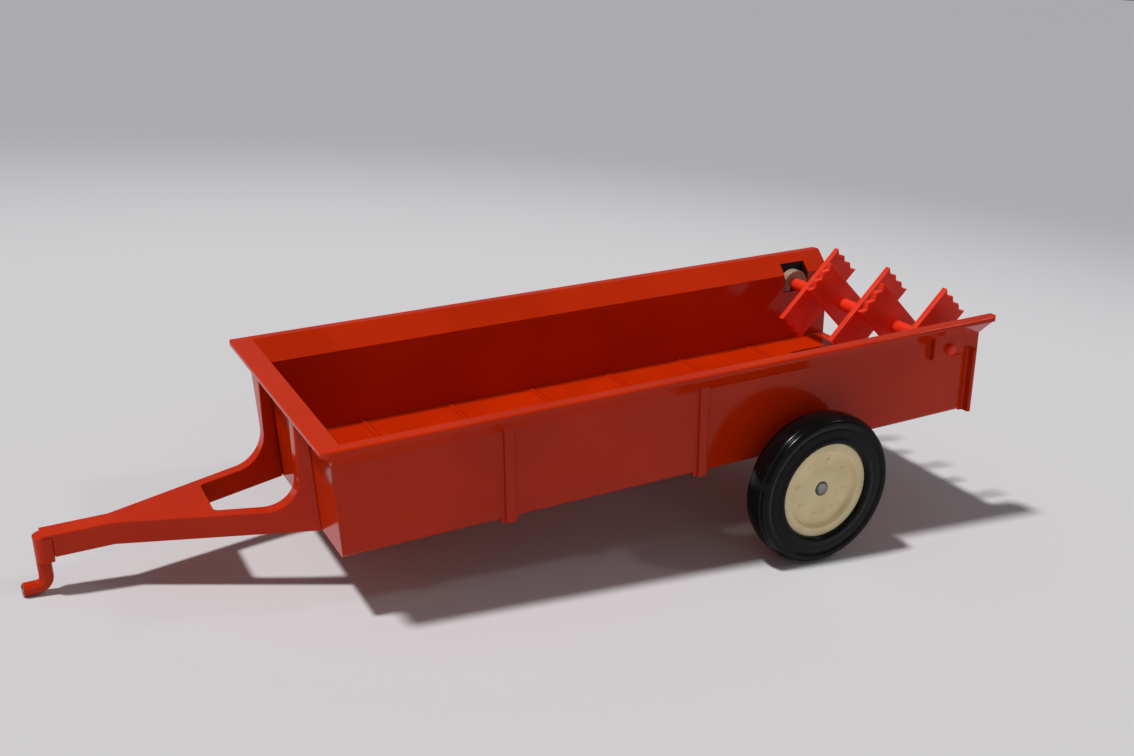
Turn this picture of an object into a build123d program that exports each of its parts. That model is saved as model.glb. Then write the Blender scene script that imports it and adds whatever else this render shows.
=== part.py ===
from build123d import *
from math import asin, atan2, cos, degrees, hypot, radians, sin
import os

# Toy manure spreader, in millimetres. The pieces are drawn with the tub level: X points forward to the
# hitch, Y to the left and Z up, with X = 0 on the front wall, Y = 0 on the centre line and Z = 0 under
# the floor. At the end they are all set down together as the toy parks, nose down on its hook.

# Tub
tub_length = 196.0
tub_width = 72.8
wall = 2.0
floor_thickness = 2.2
rim_height = 30.8
rim_width = 3.2
rim_edge = 1.4
rim_round = 0.65
rim_corner_round = 2.0
flare_height = 5.6
flare_wall = 2.4
front_lean = 1.5
front_lip = 5.1
lip_depth = 3.6
corner_round = 1.2

# Slats cast across the floor
slat_count = 6
slat_first = 29.4
slat_pitch = 27.0
slat_width = 1.6
slat_height = 0.4

# Ribs outside the side walls, as distances behind the front wall
rib_places = (43.2, 99.6)
rib_width = 2.8
rib_height = 1.2
rib_drop = 0.6
rib_round = 0.5

# Taller rib that frames the open rear, on each side
rear_rib_back = 2.1
rear_rib_width = 1.4
rear_rib_height = 2.4
rear_rib_top_drop = 11.2
rear_rib_round = 0.6

# Beater and the pockets that carry it
beater_gap = 13.0
beater_drop = 9.3
shaft_radius = 2.0
running_clearance = 0.06
pocket_width = 9.6
pocket_seat_gap = 0.1
boss_height = 2.0
boss_skin = 0.9
boss_chamfer = 1.0
saddle_thickness = 3.0
saddle_side_gap = 0.2
pin_radius = 1.5
pin_clearance = 0.08
pin_stand = 1.6
pin_round = 0.5
shaft_end_gap = 0.2
paddle_count = 5
paddle_pitch = 12.5
paddle_offset = 2.3
paddle_reach = 14.9
paddle_width = 11.2
paddle_thickness = 2.0
paddle_lean = 135.8
paddle_turn = 90.0
tooth_count = 4
tooth_depth = 1.3

# Drawbar: a beam that opens into two arms, each rising into a fin on the front wall
drawbar_top = 5.5
drawbar_bottom = -0.5
beam_front = 62.3
beam_width = 5.8
fork_front = 46.3
arm_spread = 39.4
arm_width = 3.5
opening_front = 23.0
opening_round = 1.6
fin_depth = 3.6
fin_sweep = 8.0

# Hook at the drawbar's end
hook_boss_radius = 2.8
hook_boss_centre = 61.3
hook_boss_back = 59.9
hook_boss_top = 4.8
hook_boss_bottom = -1.7
hook_rod_radius = 1.7
hook_bend_radius = 2.4
hook_bottom = -10.2
hook_tip = 68.3
hook_tip_chamfer = 0.5

# Wheels and axle
wheel_back = 131.6
axle_height = -7.2
axle_radius = 1.6
axle_head_radius = 1.85
axle_head_length = 0.7
tyre_radius = 21.7
tyre_width = 8.8
tyre_stand_off = 9.95
tyre_shoulder = 1.9
hub_radius = 13.8
hub_width = 6.0
hub_ring = 2.6
hub_recess = 0.8
hub_web = 1.6
hub_boss_radius = 4.0
hub_counterbore_radius = 2.1
hub_counterbore_depth = 1.0
hub_end_gap = 0.4
head_gap = 0.1
ear_inset = 2.4
ear_thickness = 4.0
ear_radius = 4.2
ear_foot = 18.0

half_width = tub_width / 2
inner_half = half_width - wall
fold_height = rim_height - flare_height
outer_fold = fold_height + wall - flare_wall * 2 ** 0.5
rim_inner = inner_half + flare_height
rim_half = rim_inner + rim_width
rim_under = rim_height - rim_edge
front_slope = front_lean / rim_height
lip_start = rim_under - lip_depth
lip_root = lip_start * front_slope
lip_rise = lip_depth / (front_lip - lip_root)
beater_x = beater_gap - tub_length
beater_height = rim_height - beater_drop
wheel_x = -wheel_back
ear_outer = half_width - ear_inset
tyre_centre = half_width + tyre_stand_off
beater_axis = Axis((beater_x, 0, beater_height), (0, 1, 0))
wheel_axis = Axis((wheel_x, 0, axle_height), (0, 1, 0))


def across(x, y, z, turn=0.0):
    """A plane whose normal is -Y, through a point, with its first axis turned up from +X."""
    return Plane(origin=(x, y, z), x_dir=(cos(radians(turn)), 0, sin(radians(turn))), z_dir=(0, -1, 0))


def outline_points():
    """The left half of the tub's outer section, from the centre line round to the rim's top."""
    step = rim_under - outer_fold
    return [
        (0, 0),
        (half_width, 0),
        (half_width, outer_fold),
        (half_width + step, rim_under),
        (rim_half, rim_under),
        (rim_half, rim_height),
    ]


def side_ribs(back, width, height, edge_round, bottom, top):
    """Adds a rib outside each side wall, with rounded edges and roots."""
    root = half_width - wall / 2
    for side in (1, -1):
        with BuildSketch(Plane.XY.offset(bottom), mode=Mode.PRIVATE) as rib:
            with Locations((-back, side * (root + half_width + height) / 2)):
                Rectangle(width, half_width + height - root)
            with Locations((-back, side * (root + half_width) / 2)):
                Rectangle(width + 4 * edge_round, half_width - root)
            outer = rib.vertices().sort_by(lambda corner: abs(corner.Y))[-2:]
            inner = [
                corner
                for corner in rib.vertices()
                if abs(abs(corner.Y) - half_width) < 0.001 and abs(corner.X + back) < width / 2 + 0.001
            ]
            fillet(outer + inner, edge_round)
        extrude(rib.sketch, amount=top - bottom)


# Front wall: it leans back and ends in a lip, and has the tub's own outline from side to side
with BuildPart() as front_wall:
    with BuildSketch(Plane.YZ) as front_outline:
        with BuildLine():
            Polyline(*outline_points(), (0, rim_height), close=True)
        make_face()
        mirror(about=Plane.YZ)
        fillet(front_outline.vertices().group_by(Axis.Y)[-1], rim_round)
        fillet(front_outline.vertices().group_by(Axis.Y)[0], corner_round)
    extrude(amount=front_lip)
    extrude(front_outline.sketch, amount=-2 * wall)
    with BuildSketch(Plane.XZ) as front_profile:
        with BuildLine():
            Polyline(
                (-wall, 0),
                (0, 0),
                (lip_root, lip_start),
                (front_lip, rim_under),
                (front_lip, rim_height),
                (front_lean - wall, rim_height),
                close=True,
            )
        make_face()
        fillet(front_profile.vertices().sort_by(Axis.X)[-2:], rim_round)
    extrude(amount=rim_half, both=True, mode=Mode.INTERSECT)

# Tub: a channel with flared sides, closed by the front wall and open at the rear
with BuildPart() as tub:
    with BuildSketch(Plane.YZ) as channel:
        with BuildLine():
            Polyline(
                *outline_points(),
                (rim_inner, rim_height),
                (inner_half, fold_height),
                (inner_half, floor_thickness),
                (0, floor_thickness),
                close=True,
            )
        make_face()
        mirror(about=Plane.YZ)
        fillet(channel.vertices().group_by(Axis.Y)[-1].sort_by(Axis.X)[0], rim_round)
        fillet(channel.vertices().group_by(Axis.Y)[-1].sort_by(Axis.X)[-1], rim_round)
        fillet(channel.vertices().group_by(Axis.Y)[0].sort_by(Axis.X)[0], corner_round)
        fillet(channel.vertices().group_by(Axis.Y)[0].sort_by(Axis.X)[-1], corner_round)
    extrude(amount=-tub_length)
    add(front_wall.part)
    with BuildSketch(Plane.XY.offset(-rib_drop)):
        with Locations(((front_lip - tub_length) / 2, 0)):
            RectangleRounded(tub_length + front_lip, 2 * rim_half, rim_corner_round)
    extrude(amount=rib_drop + rim_height, mode=Mode.INTERSECT)
    with BuildSketch(Plane.XY.offset(floor_thickness)):
        for number in range(slat_count):
            with Locations((-slat_first - number * slat_pitch, 0)):
                Rectangle(slat_width, 2 * inner_half)
    extrude(amount=slat_height)
    for place in rib_places:
        side_ribs(place, rib_width, rib_height, rib_round, -rib_drop, outer_fold + rib_height)
    rear_rib_place = tub_length - rear_rib_back - rear_rib_width / 2
    rear_rib_top = rim_height - rear_rib_top_drop
    side_ribs(rear_rib_place, rear_rib_width, rear_rib_height, rear_rib_round, 0, rear_rib_top)
    pocket_floor = beater_height - shaft_radius - pocket_seat_gap
    boss_outer = half_width + boss_height
    boss_root = half_width - wall / 2
    boss_bottom = pocket_floor - boss_skin
    boss_half = pocket_width / 2 + boss_skin
    for side in (1, -1):
        with BuildSketch(Plane.YZ.offset(beater_x - boss_half)):
            with BuildLine():
                Polyline(
                    (side * boss_root, boss_bottom),
                    (side * (boss_outer - boss_chamfer), boss_bottom),
                    (side * boss_outer, boss_bottom + boss_chamfer),
                    (side * boss_outer, outer_fold + boss_height),
                    (side * boss_root, outer_fold + boss_height),
                    close=True,
                )
            make_face()
        extrude(amount=2 * boss_half)
        with BuildSketch(Plane.XZ.offset(-side * (inner_half - 1))):
            with Locations((beater_x, (pocket_floor + rim_under) / 2)):
                Rectangle(pocket_width, rim_under - pocket_floor)
        extrude(amount=-side * (boss_outer - boss_skin - inner_half + 1), mode=Mode.SUBTRACT)
    with BuildSketch(across(beater_x, 0, beater_height)):
        Circle(pin_radius + pin_clearance)
    extrude(amount=boss_outer + 1, both=True, mode=Mode.SUBTRACT)

# Drawbar: the plan of beam and arms, standing as tall as the fins, cut to its side view
with BuildPart() as drawbar:
    with BuildSketch(Plane.XY.offset(drawbar_bottom)) as plan:
        arm_slope = (arm_spread / 2 - beam_width / 2) / fork_front
        opening_half = beam_width / 2 + (fork_front - opening_front) * arm_slope - arm_width
        opening_rear = arm_spread / 2 - arm_width
        with BuildLine():
            Polyline(
                (-wall, 0),
                (beam_front, 0),
                (beam_front, beam_width / 2),
                (fork_front, beam_width / 2),
                (-wall, arm_spread / 2 + wall * arm_slope),
                close=True,
            )
        make_face()
        mirror(about=Plane.XZ)
        with BuildSketch(mode=Mode.SUBTRACT) as opening:
            with BuildLine():
                Polyline(
                    (-wall - 1, -opening_rear - arm_slope),
                    (opening_front, -opening_half),
                    (opening_front, opening_half),
                    (-wall - 1, opening_rear + arm_slope),
                    close=True,
                )
            make_face()
            fillet(opening.vertices().group_by(Axis.X)[-1], opening_round)
    extrude(amount=rim_under - drawbar_bottom)
    with BuildSketch(Plane.XZ) as side_view:
        with BuildLine() as side_line:
            fin_front = front_lean / 2 + fin_depth
            arm_end = fin_front + fin_sweep
            Polyline(
                (arm_end, drawbar_top),
                (beam_front, drawbar_top),
                (beam_front, hook_boss_top),
                (hook_boss_back, hook_boss_top),
                (hook_boss_back, drawbar_bottom),
                (drawbar_bottom * front_slope, drawbar_bottom),
                (lip_root, lip_start),
                (fin_front, lip_start + (fin_front - lip_root) * lip_rise),
                (fin_front, drawbar_top + fin_sweep),
            )
            RadiusArc((fin_front, drawbar_top + fin_sweep), (arm_end, drawbar_top), -fin_sweep)
        make_face()
    extrude(amount=arm_spread, both=True, mode=Mode.INTERSECT)

# Hook: a boss under the beam's end and a rod bent forward at the bottom
with BuildPart() as hook:
    with BuildSketch(Plane.XY.offset(hook_boss_bottom)):
        with Locations((hook_boss_centre, 0)):
            Circle(hook_boss_radius)
        with Locations(((hook_boss_back + hook_boss_centre) / 2, 0)):
            Rectangle(hook_boss_centre - hook_boss_back, 2 * hook_boss_radius)
        with Locations((hook_boss_back - hook_boss_radius, 0)):
            Rectangle(2 * hook_boss_radius, 4 * hook_boss_radius, mode=Mode.SUBTRACT)
    extrude(amount=hook_boss_top - hook_boss_bottom)
    rod_x = hook_boss_centre + hook_boss_radius - hook_rod_radius
    toe_z = hook_bottom + hook_rod_radius
    with BuildLine() as rod_path:
        Line((rod_x, 0, hook_boss_bottom + 1), (rod_x, 0, toe_z + hook_bend_radius))
        TangentArc(
            (rod_x, 0, toe_z + hook_bend_radius),
            (rod_x + hook_bend_radius, 0, toe_z),
            tangent=(0, 0, -1),
        )
        Line((rod_x + hook_bend_radius, 0, toe_z), (hook_tip, 0, toe_z))
    with BuildSketch(Plane(origin=rod_path.line @ 0, z_dir=rod_path.line % 0)):
        Circle(hook_rod_radius)
    sweep()
    chamfer(hook.edges().group_by(Axis.X)[-1], hook_tip_chamfer)

# Beater: a shaft with flat paddles across it, each a quarter turn on from the last
shaft_half = boss_outer - boss_skin - shaft_end_gap
with BuildPart() as beater:
    with BuildSketch(across(beater_x, 0, beater_height)):
        Circle(shaft_radius)
    extrude(amount=shaft_half, both=True)
    with BuildSketch(across(beater_x, 0, beater_height)):
        Circle(pin_radius)
    extrude(amount=boss_outer + pin_stand, both=True)
    chamfer(beater.edges().group_by(Axis.Y)[0] + beater.edges().group_by(Axis.Y)[-1], pin_round)
    tooth_pitch = paddle_width / (tooth_count - 1)
    for number in range(paddle_count):
        paddle_y = paddle_offset + (number - (paddle_count - 1) / 2) * paddle_pitch
        with BuildSketch(across(beater_x, paddle_y, beater_height, paddle_lean + paddle_turn * number)):
            Rectangle(2 * paddle_reach, paddle_width)
            with GridLocations(2 * paddle_reach, tooth_pitch, 2, tooth_count - 1):
                Polygon(
                    (-tooth_depth, 0),
                    (0, -tooth_pitch / 2),
                    (tooth_depth, 0),
                    (0, tooth_pitch / 2),
                    mode=Mode.SUBTRACT,
                )
        extrude(amount=paddle_thickness / 2, both=True)

# Saddle: an arch that closes the pocket over the shaft's end
with BuildPart() as saddle_left:
    saddle_radius = pocket_width / 2 - saddle_side_gap
    with BuildSketch(across(beater_x, boss_outer - boss_skin, beater_height)):
        Circle(saddle_radius)
        with Locations((0, (pocket_floor - beater_height) / 2)):
            Rectangle(2 * saddle_radius, beater_height - pocket_floor)
        with Locations((0, pocket_floor - beater_height - saddle_radius)):
            Rectangle(2 * saddle_radius, 2 * saddle_radius, mode=Mode.SUBTRACT)
        Circle(shaft_radius + running_clearance, mode=Mode.SUBTRACT)
        with Locations((0, -saddle_radius)):
            Rectangle(2 * (shaft_radius + running_clearance), 2 * saddle_radius, mode=Mode.SUBTRACT)
    extrude(amount=saddle_thickness)
with BuildPart() as saddle_right:
    mirror(saddle_left.part, about=Plane.XZ)

# Axle: a steel rod with a riveted head at each end
hub_outer = tyre_centre + hub_width / 2
hub_face = hub_outer - hub_recess
head_outer = hub_face - hub_counterbore_depth + head_gap + axle_head_length
with BuildPart() as axle:
    with BuildSketch(across(wheel_x, 0, axle_height)):
        Circle(axle_radius)
    extrude(amount=head_outer, both=True)
    for side in (1, -1):
        with BuildSketch(across(wheel_x, side * head_outer, axle_height)):
            Circle(axle_head_radius)
        extrude(amount=side * axle_head_length)

# Ear: a lug cast under the floor, bored for the axle
with BuildPart() as axle_ear_left:
    with BuildSketch(across(wheel_x, ear_outer, axle_height)):
        Circle(ear_radius)
        with Locations((0, -axle_height - ear_radius / 4)):
            Rectangle(ear_foot, ear_radius / 2)
        make_hull()
        Circle(axle_radius, mode=Mode.SUBTRACT)
    extrude(amount=ear_thickness)
with BuildPart() as axle_ear_right:
    mirror(axle_ear_left.part, about=Plane.XZ)

# Hub: a moulded disc between two raised rings, with a sleeve along the axle
wheel_section = Plane(origin=(wheel_x, 0, axle_height), x_dir=(0, 1, 0), z_dir=(1, 0, 0))
with BuildPart() as hub_left:
    with BuildSketch(wheel_section):
        hub_inner = tyre_centre - hub_width / 2
        bore = axle_radius + running_clearance
        counterbore_floor = hub_face - hub_counterbore_depth
        with BuildLine():
            Polyline(
                (ear_outer + hub_end_gap, bore),
                (counterbore_floor, bore),
                (counterbore_floor, hub_counterbore_radius),
                (hub_face, hub_counterbore_radius),
                (hub_face, hub_radius - hub_ring),
                (hub_outer, hub_radius - hub_ring),
                (hub_outer, hub_radius),
                (hub_inner, hub_radius),
                (hub_inner, hub_radius - hub_ring),
                (hub_face - hub_web, hub_radius - hub_ring),
                (hub_face - hub_web, hub_boss_radius),
                (ear_outer + hub_end_gap, hub_boss_radius),
                close=True,
            )
        make_face()
    revolve(axis=wheel_axis)
with BuildPart() as hub_right:
    mirror(hub_left.part, about=Plane.XZ)

# Tyre: a rubber ring stretched over the hub, wider than the hub on both sides
with BuildPart() as tyre_left:
    with BuildSketch(wheel_section) as tyre_profile:
        with Locations((tyre_centre, (tyre_radius + hub_radius) / 2)):
            Rectangle(tyre_width, tyre_radius - hub_radius)
        chamfer(tyre_profile.vertices().group_by(Axis.Y)[-1], tyre_shoulder)
    revolve(axis=wheel_axis)
with BuildPart() as tyre_right:
    mirror(tyre_left.part, about=Plane.XZ)

pieces = {
    "tub": tub,
    "drawbar": drawbar,
    "hitch_hook": hook,
    "axle": axle,
    "axle_ear_left": axle_ear_left,
    "axle_ear_right": axle_ear_right,
    "wheel_hub_left": hub_left,
    "wheel_hub_right": hub_right,
    "tyre_left": tyre_left,
    "tyre_right": tyre_right,
    "beater": beater,
    "beater_saddle_left": saddle_left,
    "beater_saddle_right": saddle_right,
}

# The floor touches the tyres and the lower edge of the hook's tip: the tilt that levels that line
tip_x = hook_tip - hook_tip_chamfer
tip_z = hook_bottom
run = tip_x - wheel_x
rise = tip_z - axle_height
park_tilt = degrees(atan2(rise, run) + asin(tyre_radius / hypot(run, rise)))
for piece in pieces.values():
    piece.part.move(Location((0, 0, 0), (0, park_tilt, 0)))
box = Compound([piece.part for piece in pieces.values()]).bounding_box()
set_down = Location((-(box.min.X + box.max.X) / 2, -(box.min.Y + box.max.Y) / 2, -box.min.Z))

os.makedirs("parts", exist_ok=True)
for name, piece in pieces.items():
    piece.part.move(set_down)
    piece.part.label = name
    export_step(piece.part, f"parts/{name}.step")

size = box.size
print(f"size {size.X:.2f} x {size.Y:.2f} x {size.Z:.2f}, tilt {park_tilt:.3f}")
for title, axis in (("wheels", wheel_axis), ("beater", beater_axis)):
    place = (set_down * Location((0, 0, 0), (0, park_tilt, 0)) * Location(axis.position)).position
    print(f"{title} axis at X {place.X:.3f}, Z {place.Z:.3f}")
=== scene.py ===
from math import cos, pi, radians, sin

import bpy
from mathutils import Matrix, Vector


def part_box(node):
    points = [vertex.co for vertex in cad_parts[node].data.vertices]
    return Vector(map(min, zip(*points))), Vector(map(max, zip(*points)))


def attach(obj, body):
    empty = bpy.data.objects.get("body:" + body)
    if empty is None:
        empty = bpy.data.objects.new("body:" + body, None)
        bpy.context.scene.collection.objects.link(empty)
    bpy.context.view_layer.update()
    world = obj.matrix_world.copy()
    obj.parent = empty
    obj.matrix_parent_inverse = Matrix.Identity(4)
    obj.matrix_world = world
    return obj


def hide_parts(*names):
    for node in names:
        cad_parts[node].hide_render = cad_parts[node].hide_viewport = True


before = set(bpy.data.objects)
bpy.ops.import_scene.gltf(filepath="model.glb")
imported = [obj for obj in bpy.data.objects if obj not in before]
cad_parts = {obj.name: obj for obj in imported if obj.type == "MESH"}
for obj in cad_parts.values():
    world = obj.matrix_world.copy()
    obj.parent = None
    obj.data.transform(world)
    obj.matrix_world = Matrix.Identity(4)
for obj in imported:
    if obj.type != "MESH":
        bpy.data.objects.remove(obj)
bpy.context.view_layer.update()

# Camera: where the photograph was taken from, measured from the middle of the left tyre.
# It looks down at the toy's front left corner, and it was held a little crooked.
MM = 0.001
tyre_low, tyre_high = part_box("tyre_left")
tyre_middle = (tyre_low + tyre_high) / 2
camera_offset = (217.0 * MM, 245.5 * MM, 133.9 * MM)
camera_turn = (71.2, -4.4, 152.55)
bpy.ops.object.camera_add(
    location=[at + off for at, off in zip(tyre_middle, camera_offset)],
    rotation=[radians(angle) for angle in camera_turn],
)
camera = bpy.context.object
camera.data.lens = 39.93
camera.data.sensor_width = 36.0
camera.data.clip_start = 0.01
camera.data.clip_end = 40.0
bpy.context.scene.camera = camera


# Tub, drawbar, hook and axle ears: one zinc casting, dipped and sprayed in orange-red enamel.
# The enamel is glossy, a little thick, and shows a faint orange peel where it flowed.
class Field:
    """A number that changes over a surface: a shader socket that answers to ordinary maths."""

    def __init__(self, tree, socket):
        self.tree = tree
        self.socket = socket

    def maths(self, operation, *values):
        made = self.tree.nodes.new("ShaderNodeMath")
        made.operation = operation
        for socket, value in zip(made.inputs, values):
            if isinstance(value, Field):
                self.tree.links.new(value.socket, socket)
            else:
                socket.default_value = value
        return Field(self.tree, made.outputs[0])

    def __add__(self, other):
        return self.maths("ADD", self, other)

    def __sub__(self, other):
        return self.maths("SUBTRACT", self, other)

    def __rsub__(self, other):
        return self.maths("SUBTRACT", other, self)

    def __mul__(self, other):
        return self.maths("MULTIPLY", self, other)

    def __pow__(self, other):
        return self.maths("POWER", self, other)

    def __abs__(self):
        return self.maths("ABSOLUTE", self)

    __radd__ = __add__
    __rmul__ = __mul__


class Finish:
    """A surface finish: one material, its node tree and its main shader."""

    def __init__(self, name, **constants):
        self.material = bpy.data.materials.new(name)
        self.material.use_nodes = True
        self.tree = self.material.node_tree
        self.shader = self.tree.nodes["Principled BSDF"]
        for socket, value in constants.items():
            self.shader.inputs[socket.replace("_", " ")].default_value = value

    def add(self, kind, settings=None, sockets=None, output=0):
        """A new node: its settings first, then the values or links of its sockets."""
        made = self.tree.nodes.new(kind)
        for setting, value in (settings or {}).items():
            setattr(made, setting, value)
        for socket, value in (sockets or {}).items():
            if isinstance(value, Field):
                self.tree.links.new(value.socket, made.inputs[socket])
            else:
                made.inputs[socket].default_value = value
        return Field(self.tree, made.outputs[output])

    def feed(self, **fields):
        for socket, value in fields.items():
            self.tree.links.new(value.socket, self.shader.inputs[socket.replace("_", " ")])

    def place(self):
        return self.add("ShaderNodeTexCoord", output="Object")

    def axes(self):
        """The place along X, Y and Z, in metres."""
        split = self.add("ShaderNodeSeparateXYZ", None, {"Vector": self.place()})
        return [Field(self.tree, socket) for socket in split.socket.node.outputs]

    def noise(self, size, detail=3.0):
        """Soft random patches about this many millimetres across, from 0 to 1."""
        sockets = {"Vector": self.place(), "Scale": 1.0 / (size * MM), "Detail": detail}
        return self.add("ShaderNodeTexNoise", None, sockets)

    def step(self, value, low, high):
        """0 below low, 1 above high and smooth between."""
        settings = {"interpolation_type": "SMOOTHSTEP"}
        sockets = {"Value": value, "From Min": low, "From Max": high}
        return self.add("ShaderNodeMapRange", settings, sockets)

    def blend(self, share, first, second):
        """The first colour where share is 0 and the second where it is 1."""
        # A Mix node has sockets for numbers, vectors and colours: these numbers are its colour ones.
        sockets = {0: share, 6: first, 7: second}
        return self.add("ShaderNodeMix", {"data_type": "RGBA"}, sockets, output=2)

    def bump(self, height, depth):
        """Relief this many millimetres deep where the height is 1."""
        sockets = {"Height": height, "Distance": depth * MM, "Strength": 1.0}
        return self.add("ShaderNodeBump", None, sockets)


def inside(finish, along, low, high):
    """1 where a place along one axis is between two limits, in millimetres, and 0 outside."""
    edge = 0.06
    above = finish.step(along, (low - edge) * MM, (low + edge) * MM)
    beyond = finish.step(along, (high - edge) * MM, (high + edge) * MM)
    return above * (1 - beyond)


def enamel(name, painted_shade_mask=None, bare=None):
    """The paint, with a place darkened and roughened as painted shade and a place where it is knocked
    off.
    """
    bright = (0.54, 0.024, 0.0004, 1.0)
    deep = (0.48, 0.0195, 0.0003, 1.0)
    # Nearly black: the painted shade inside the beater pockets.
    painted_pocket_shade = (0.012, 0.005, 0.003, 1.0)
    zinc = (0.42, 0.41, 0.4, 1.0)
    pool_size = 30.0
    peel_size = 2.4
    peel_depth = 0.009
    haze_size = 6.0
    paint = Finish(name, IOR=1.5, Specular_IOR_Level=0.19)
    pooled = paint.step(paint.noise(pool_size), 0.35, 0.65)
    peel = paint.noise(peel_size, detail=1.0)
    colour = paint.blend(pooled, bright, deep)
    roughness = 0.07 + 0.1 * paint.noise(haze_size)
    # Painted shade: where this mask is 1, the paint turns nearly black and rougher.
    if painted_shade_mask:
        mask = painted_shade_mask(paint)
        colour = paint.blend(mask, colour, painted_pocket_shade)
        roughness = roughness + 0.3 * mask
    if bare:
        mask = bare(paint)
        colour = paint.blend(mask, colour, zinc)
        paint.feed(Metallic=mask)
    paint.feed(Base_Color=colour, Roughness=roughness, Normal=paint.bump(peel, peel_depth))
    return paint.material


def soften(piece, width, segments=2):
    """Rounds every sharp edge a little, as a mould does, and shades the rest smooth."""
    sharp = radians(38)
    bpy.ops.object.select_all(action="DESELECT")
    piece.select_set(True)
    bpy.context.view_layer.objects.active = piece
    rounding = piece.modifiers.new("rounding", "BEVEL")
    rounding.width = width * MM
    rounding.segments = segments
    rounding.limit_method = "ANGLE"
    rounding.angle_limit = sharp
    rounding.use_clamp_overlap = False
    bpy.ops.object.modifier_apply(modifier=rounding.name)
    smooth(piece)


def smooth(piece):
    """Shades small steps smooth and keeps flat faces flat."""
    crease = radians(40)
    bpy.ops.object.shade_smooth_by_angle(angle=crease)
    flats = piece.modifiers.new("flats", "WEIGHTED_NORMAL")
    flats.keep_sharp = True
    bpy.ops.object.modifier_apply(modifier=flats.name)


def recast(cad, name, width, finish, body, least=0.0, kept=None):
    """Stands for a CAD node: a copy with its triangles joined into whole faces and its edges softened.
    Edges shorter than the least length, and those whose ends are both kept, stay as they are."""
    weld = 0.001 * MM
    flat = radians(0.5)
    sharp = radians(50)
    piece = bpy.data.objects.new(name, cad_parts[cad].data.copy())
    bpy.context.collection.objects.link(piece)
    bpy.ops.object.select_all(action="DESELECT")
    piece.select_set(True)
    bpy.context.view_layer.objects.active = piece
    bpy.ops.mesh.customdata_custom_splitnormals_clear()
    bpy.ops.object.mode_set(mode="EDIT")
    bpy.ops.mesh.select_mode(type="EDGE")
    bpy.ops.mesh.select_all(action="SELECT")
    bpy.ops.mesh.remove_doubles(threshold=weld)
    bpy.ops.mesh.dissolve_limited(angle_limit=flat)
    bpy.ops.mesh.select_all(action="DESELECT")
    bpy.ops.mesh.edges_select_sharp(sharpness=sharp)
    bpy.ops.object.mode_set(mode="OBJECT")
    mesh = piece.data
    chosen = []
    for edge in mesh.edges:
        start, end = [mesh.vertices[corner].co for corner in edge.vertices]
        short = (end - start).length < least * MM
        held = kept and kept(start) and kept(end)
        if edge.select and not short and not held:
            chosen.append(edge.index)
    bpy.ops.object.mode_set(mode="EDIT")
    bpy.ops.mesh.select_all(action="DESELECT")
    bpy.ops.object.mode_set(mode="OBJECT")
    for number in chosen:
        mesh.edges[number].select = True
        for corner in mesh.edges[number].vertices:
            mesh.vertices[corner].select = True
    bpy.ops.object.mode_set(mode="EDIT")
    bpy.ops.mesh.bevel(offset=width * MM, segments=2, affect="EDGES", clamp_overlap=False)
    bpy.ops.object.mode_set(mode="OBJECT")
    smooth(piece)
    piece.data.materials.clear()
    piece.data.materials.append(finish)
    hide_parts(cad)
    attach(piece, body)


# The tub stands nose down by this tilt. Places along it are measured from the beater's axis.
tilt = radians(5.385)
beater_low, beater_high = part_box("beater")
beater_axis = (beater_low + beater_high) / 2
wall_inner = 34.4
rib_ahead = (139.8, 83.4, -10.2)
rib_half = 3.2


def on_rib(place):
    """Whether a place is on one of the ribs outside the walls, whose edges are already round."""
    off = place - beater_axis
    along = (off.x * cos(tilt) - off.z * sin(tilt)) / MM
    return abs(place.y) > wall_inner * MM and any(abs(along - rib) < rib_half for rib in rib_ahead)


def pocket_painted_shade(paint):
    """Painted shade inside both beater pockets: between the wall's inner face and the boss's skin."""
    pocket_half = 4.85
    pocket_inner = wall_inner + 0.06
    pocket_outer = 37.56
    pocket_drop = 2.3
    pocket_rise = 7.6
    x, y, z = paint.axes()
    along = (x - beater_axis.x) * cos(tilt) - (z - beater_axis.z) * sin(tilt)
    up = (x - beater_axis.x) * sin(tilt) + (z - beater_axis.z) * cos(tilt)
    across = abs(y)
    sides = inside(paint, along, -pocket_half, pocket_half)
    depth = inside(paint, across, pocket_inner, pocket_outer)
    return sides * depth * inside(paint, up, -pocket_drop, pocket_rise)


def tip_chip(paint):
    """The hook's tip, where the paint is knocked off."""
    chip_deep = 0.8
    chip_size = 1.2
    chip_edge = 0.1
    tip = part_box("hitch_hook")[1].x
    x, y, z = paint.axes()
    ragged = chip_deep * MM * paint.noise(chip_size)
    return paint.step(x + ragged, tip - chip_edge * MM, tip + chip_edge * MM)


casting_edge = 0.3
drawbar_edge = 0.35
casting_paint = enamel("orange_red_enamel")
# The tub's enamel is painted nearly black inside the beater pockets, as painted shade.
tub_paint = enamel("tub_enamel", painted_shade_mask=pocket_painted_shade)
hook_paint = enamel("hook_enamel", bare=tip_chip)
recast("tub", "tub_cast", casting_edge, tub_paint, "spreader", least=1.5, kept=on_rib)
recast("drawbar", "drawbar_cast", drawbar_edge, casting_paint, "spreader")
recast("hitch_hook", "hook_cast", casting_edge, hook_paint, "spreader", least=0.6)
for side in ("left", "right"):
    ear = "axle_ear_" + side
    recast(ear, "ear_cast_" + side, casting_edge, casting_paint, "spreader")


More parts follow.
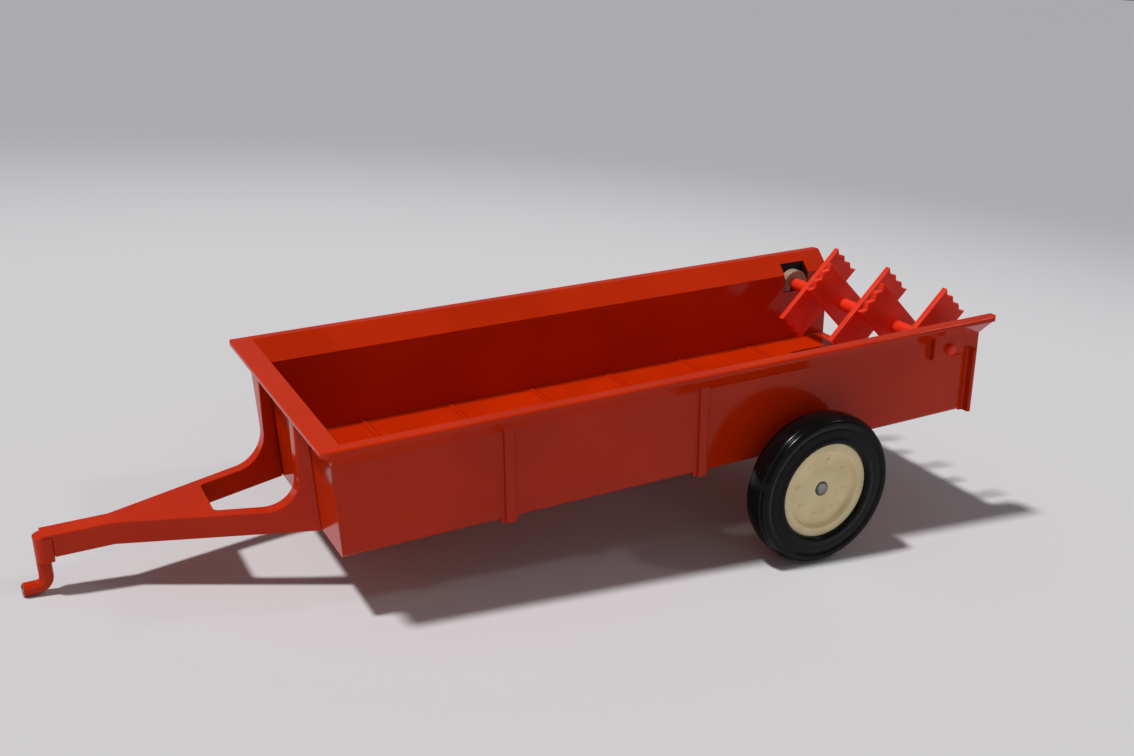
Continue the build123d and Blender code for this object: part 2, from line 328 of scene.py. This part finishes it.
# Wheels: a moulded cream hub with a recessed disc and eight faint lugs, and a black rubber tyre.
# The tyre is stretched over the hub. A lip lies on the hub's ring, a ridge runs round each shoulder,
# and a groove parts the shoulder from the tread.
def turned(name, middle, profile, steps):
    """A ring turned about the axle: a circle carried from point to point of its closed profile."""
    weld = 0.001 * MM
    across, radius = profile[-1]
    bpy.ops.object.select_all(action="DESELECT")
    bpy.ops.mesh.primitive_circle_add(
        vertices=steps,
        radius=radius * MM,
        fill_type="NOTHING",
        location=(middle.x, middle.y + across * MM, middle.z),
        rotation=(pi / 2, 0, 0),
    )
    ring = bpy.context.object
    ring.name = name
    bpy.ops.object.transform_apply(location=True, rotation=True, scale=True)
    bpy.ops.object.mode_set(mode="EDIT")
    bpy.ops.mesh.select_all(action="SELECT")
    for next_across, next_radius in profile:
        shift = (next_across - across) * MM
        growth = next_radius / radius
        bpy.ops.mesh.extrude_region_move(TRANSFORM_OT_translate={"value": (0, shift, 0)})
        bpy.ops.transform.resize(value=(growth, 1, growth), center_override=middle)
        across, radius = next_across, next_radius
    bpy.ops.mesh.select_all(action="SELECT")
    bpy.ops.mesh.remove_doubles(threshold=weld)
    bpy.ops.mesh.normals_make_consistent(inside=False)
    bpy.ops.object.mode_set(mode="OBJECT")
    return ring


def rubber():
    black = (0.0028, 0.003, 0.003, 1.0)
    dusty = (0.0055, 0.0055, 0.0055, 1.0)
    dust_size = 4.0
    sheen_size = 2.0
    grain_size = 0.6
    grain_depth = 0.004
    finish = Finish("black_rubber", IOR=1.5, Specular_IOR_Level=0.14)
    dust = finish.step(finish.noise(dust_size), 0.45, 0.8)
    finish.feed(
        Base_Color=finish.blend(dust, black, dusty),
        Roughness=0.14 + 0.12 * finish.noise(sheen_size),
        Normal=finish.bump(finish.noise(grain_size), grain_depth),
    )
    return finish.material


def cream(name, light, shade):
    """The hubs' and saddles' plastic, a little yellowed and uneven."""
    stain_size = 7.0
    sheen_size = 3.0
    grain_size = 0.9
    grain_depth = 0.012
    finish = Finish(name, IOR=1.5, Specular_IOR_Level=0.3)
    stain = finish.step(finish.noise(stain_size), 0.3, 0.75)
    finish.feed(
        Base_Color=finish.blend(stain, light, shade),
        Roughness=0.42 + 0.12 * finish.noise(sheen_size),
        Normal=finish.bump(finish.noise(grain_size), grain_depth),
    )
    return finish.material


def fit_wheel(piece, cad, finish, which):
    piece.data.materials.clear()
    piece.data.materials.append(finish)
    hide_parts(cad + which)
    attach(piece, "wheel_" + which)


# Each point of a profile is its place across the wheel from the middle, and its radius.
tyre_half = [
    (3.2, 13.8), (3.85, 13.85), (4.25, 14.15), (4.4, 14.7), (4.32, 15.3), (4.12, 15.8), (4.08, 16.8),
    (4.12, 17.7), (3.95, 18.0), (3.92, 18.4), (4.1, 18.85), (4.36, 19.4), (4.34, 20.1), (4.1, 20.6),
    (3.6, 20.95), (3.05, 21.05), (2.8, 20.92), (2.6, 20.98), (2.45, 21.35), (2.0, 21.52), (1.0, 21.66),
    (0.2, 21.7),
]
tyre_profile = tyre_half + [(-across, radius) for across, radius in reversed(tyre_half)]
tyre_profile.append(tyre_half[0])
hub_profile = [
    (-11.95, 1.66), (-11.95, 4.0), (0.6, 4.0), (0.6, 11.2), (-3.0, 11.2), (-3.0, 13.8),
    (3.0, 13.8), (3.0, 11.35), (1.5, 10.75), (1.5, 6.1), (1.9, 5.4), (1.9, 2.1), (1.2, 2.1),
    (1.2, 1.66), (-11.95, 1.66),
]
wheel_steps = 144
tyre_edge = 0.07
hub_edge = 0.22
lug_count = 8
lug_sides = 24
lug_circle = 8.0
lug_radius = 0.75
lug_height = 0.2
lug_edge = 0.15
lug_start = 8.0
lug_seat = 1.5
tyre = turned("tyre_ribbed_left", tyre_middle, tyre_profile, wheel_steps)
soften(tyre, tyre_edge)
hub = turned("wheel_disc_left", tyre_middle, hub_profile, wheel_steps)
soften(hub, hub_edge, segments=3)

bpy.ops.object.select_all(action="DESELECT")
bpy.ops.mesh.primitive_cylinder_add(
    vertices=lug_sides,
    radius=lug_radius * MM,
    depth=2 * lug_height * MM,
    location=(
        tyre_middle.x + lug_circle * MM * cos(radians(lug_start)),
        tyre_middle.y + lug_seat * MM,
        tyre_middle.z + lug_circle * MM * sin(radians(lug_start)),
    ),
    rotation=(pi / 2, 0, 0),
)
lugs = bpy.context.object
bpy.ops.object.transform_apply(location=True, rotation=True, scale=True)
soften(lugs, lug_edge, segments=3)
bpy.ops.object.mode_set(mode="EDIT")
bpy.ops.mesh.select_all(action="SELECT")
bpy.ops.mesh.spin(
    steps=lug_count - 1,
    dupli=True,
    angle=2 * pi * (lug_count - 1) / lug_count,
    center=tyre_middle,
    axis=(0, 1, 0),
)
bpy.ops.mesh.select_all(action="SELECT")
bpy.ops.mesh.normals_make_consistent(inside=False)
bpy.ops.object.mode_set(mode="OBJECT")
bpy.ops.object.select_all(action="DESELECT")
lugs.select_set(True)
hub.select_set(True)
bpy.context.view_layer.objects.active = hub
bpy.ops.object.join()

hub_light = (0.88, 0.73, 0.44, 1.0)
hub_shade = (0.78, 0.63, 0.35, 1.0)
rubber_finish = rubber()
cream_finish = cream("cream_plastic", hub_light, hub_shade)
for piece, cad, finish, slot in (
    (tyre, "tyre_", rubber_finish, "black_rubber"),
    (hub, "wheel_hub_", cream_finish, "cream_plastic"),
):
    bpy.ops.object.select_all(action="DESELECT")
    piece.select_set(True)
    bpy.context.view_layer.objects.active = piece
    bpy.ops.object.duplicate(linked=False)
    twin = bpy.context.object
    twin.name = piece.name.replace("left", "right")
    bpy.ops.object.mode_set(mode="EDIT")
    bpy.ops.mesh.select_all(action="SELECT")
    bpy.ops.transform.resize(value=(1, -1, 1), center_override=(0, 0, 0))
    bpy.ops.mesh.normals_make_consistent(inside=False)
    bpy.ops.object.mode_set(mode="OBJECT")
    fit_wheel(piece, cad, finish, "left")
    fit_wheel(twin, cad, finish, "right")


# Axle: a drawn steel rod through both ears, cut and riveted over at each end.
# It is dull in small patches and finely pitted.
def steel():
    clean = (0.3, 0.295, 0.29, 1.0)
    dull = (0.1, 0.095, 0.09, 1.0)
    patch_size = 1.2
    sheen_size = 0.5
    pit_size = 0.3
    pit_depth = 0.012
    finish = Finish("bright_steel", Metallic=1.0)
    patches = finish.step(finish.noise(patch_size), 0.4, 0.75)
    finish.feed(
        Base_Color=finish.blend(patches, clean, dull),
        Roughness=0.25 + 0.2 * finish.noise(sheen_size),
        Normal=finish.bump(finish.noise(pit_size), pit_depth),
    )
    return finish.material


rivet_edge = 0.5
recast("axle", "axle_riveted", rivet_edge, steel(), "spreader")


# Beater and saddles: the beater is one moulding in softer orange-red plastic, its teeth sharp.
# Light goes a little way into it. The cream saddles close the pockets over its ends; their colour is
# darkened and reddened as painted shade and painted reflection of the red walls.
def moulding():
    bright = (0.86, 0.045, 0.012, 1.0)
    deep = (0.74, 0.033, 0.008, 1.0)
    flow_size = 8.0
    sheen_size = 3.0
    grain_size = 1.2
    grain_depth = 0.015
    finish = Finish(
        "orange_red_plastic",
        IOR=1.46,
        Specular_IOR_Level=0.3,
        Subsurface_Weight=0.5,
        Subsurface_Radius=(1.0, 0.12, 0.05),
        Subsurface_Scale=2.5 * MM,
    )
    flow = finish.step(finish.noise(flow_size), 0.3, 0.7)
    finish.feed(
        Base_Color=finish.blend(flow, bright, deep),
        Roughness=0.36 + 0.12 * finish.noise(sheen_size),
        Normal=finish.bump(finish.noise(grain_size), grain_depth),
    )
    return finish.material


moulded_edge = 0.2
# The saddles' cream is darkened and reddened: painted shade of the pocket and painted reflection of
# the red walls.
saddle_painted_shade_pale = (0.42, 0.27, 0.19, 1.0)
saddle_painted_shade_deep = (0.25, 0.14, 0.1, 1.0)
recast("beater", "beater_moulded", moulded_edge, moulding(), "rotor")
saddle_painted_shade_finish = cream("cream_plastic_painted_shade", saddle_painted_shade_pale, saddle_painted_shade_deep)
for side in ("left", "right"):
    saddle = "beater_saddle_" + side
    recast(saddle, "saddle_" + side, moulded_edge, saddle_painted_shade_finish, "spreader")


# Floor and light: a pale grey floor, darker far away, that takes the toy's shadow.
# The main lamp is high in front and small, so the shadow under and behind the tub is clear.
# A wide dim lamp on the left stands for the room, a faint one is behind it, and the sky is soft.
def floor_finish():
    near = (0.61, 0.6, 0.61, 1.0)
    far = (0.4, 0.4, 0.415, 1.0)
    fade_start = 0.3
    fade_end = 0.75
    finish = Finish("pale_floor", Roughness=0.9, Specular_IOR_Level=0.1)
    x, y, z = finish.axes()
    distance = (x * x + y * y) ** 0.5
    finish.feed(Base_Color=finish.blend(finish.step(distance, fade_start, fade_end), near, far))
    return finish.material


floor_width = 400.0
bpy.ops.object.select_all(action="DESELECT")
bpy.ops.mesh.primitive_plane_add(size=floor_width, location=(0, 0, 0))
floor = bpy.context.object
floor.name = "pale_floor"
floor.data.materials.append(floor_finish())

# Each lamp's turn from +X, its rise, its strength and its width as an angle.
lamps = (
    (-4, 64, 2.85, 5.5),
    (75, 12, 0.3, 50),
    (153, 46, 0.2, 6),
)
for turn, rise, strength, width in lamps:
    level = cos(radians(rise))
    towards = Vector((level * cos(radians(turn)), level * sin(radians(turn)), sin(radians(rise))))
    bpy.ops.object.light_add(type="SUN", location=towards)
    lamp = bpy.context.object
    lamp.data.energy = strength
    lamp.data.angle = radians(width)
    lamp.rotation_euler = towards.to_track_quat("Z", "Y").to_euler()

sky_colour = (0.15, 0.15, 0.155, 1.0)
sky = bpy.data.worlds.new("studio_sky")
sky.use_nodes = True
background = sky.node_tree.nodes["Background"]
background.inputs["Color"].default_value = sky_colour
background.inputs["Strength"].default_value = 1.0
bpy.context.scene.world = sky
bpy.context.scene.view_settings.view_transform = "Standard"
